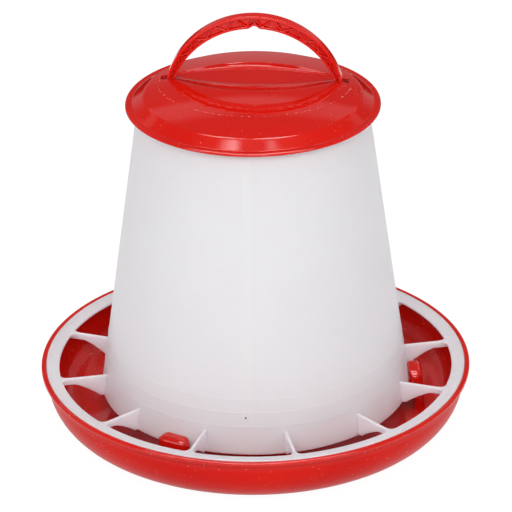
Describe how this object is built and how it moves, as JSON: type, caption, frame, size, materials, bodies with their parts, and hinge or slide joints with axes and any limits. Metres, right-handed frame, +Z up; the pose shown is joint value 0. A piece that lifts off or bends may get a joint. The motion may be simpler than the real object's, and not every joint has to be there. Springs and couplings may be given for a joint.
{
  "type": "poultry feeder",
  "caption": "Round plastic poultry feeder: red tray with a ring of feeding bays, milky tapered hopper, red lid and arched carrying handle.",
  "frame": {"origin": "on the feeder's axis, at the floor under the tray", "axes": "+Z up along the feeder's axis, X along the handle, -Y towards the front of the finger recess"},
  "size_m": [0.275, 0.275, 0.2658],
  "materials": {
    "red_plastic": "smooth gloss, injection moulded polypropylene",
    "milky_plastic": "satin, translucent natural polypropylene"
  },
  "bodies": {
    "root": {"tray": "red_plastic", "hopper": "milky_plastic", "lid": "red_plastic", "handle": "red_plastic"}
  },
  "joints": []
}
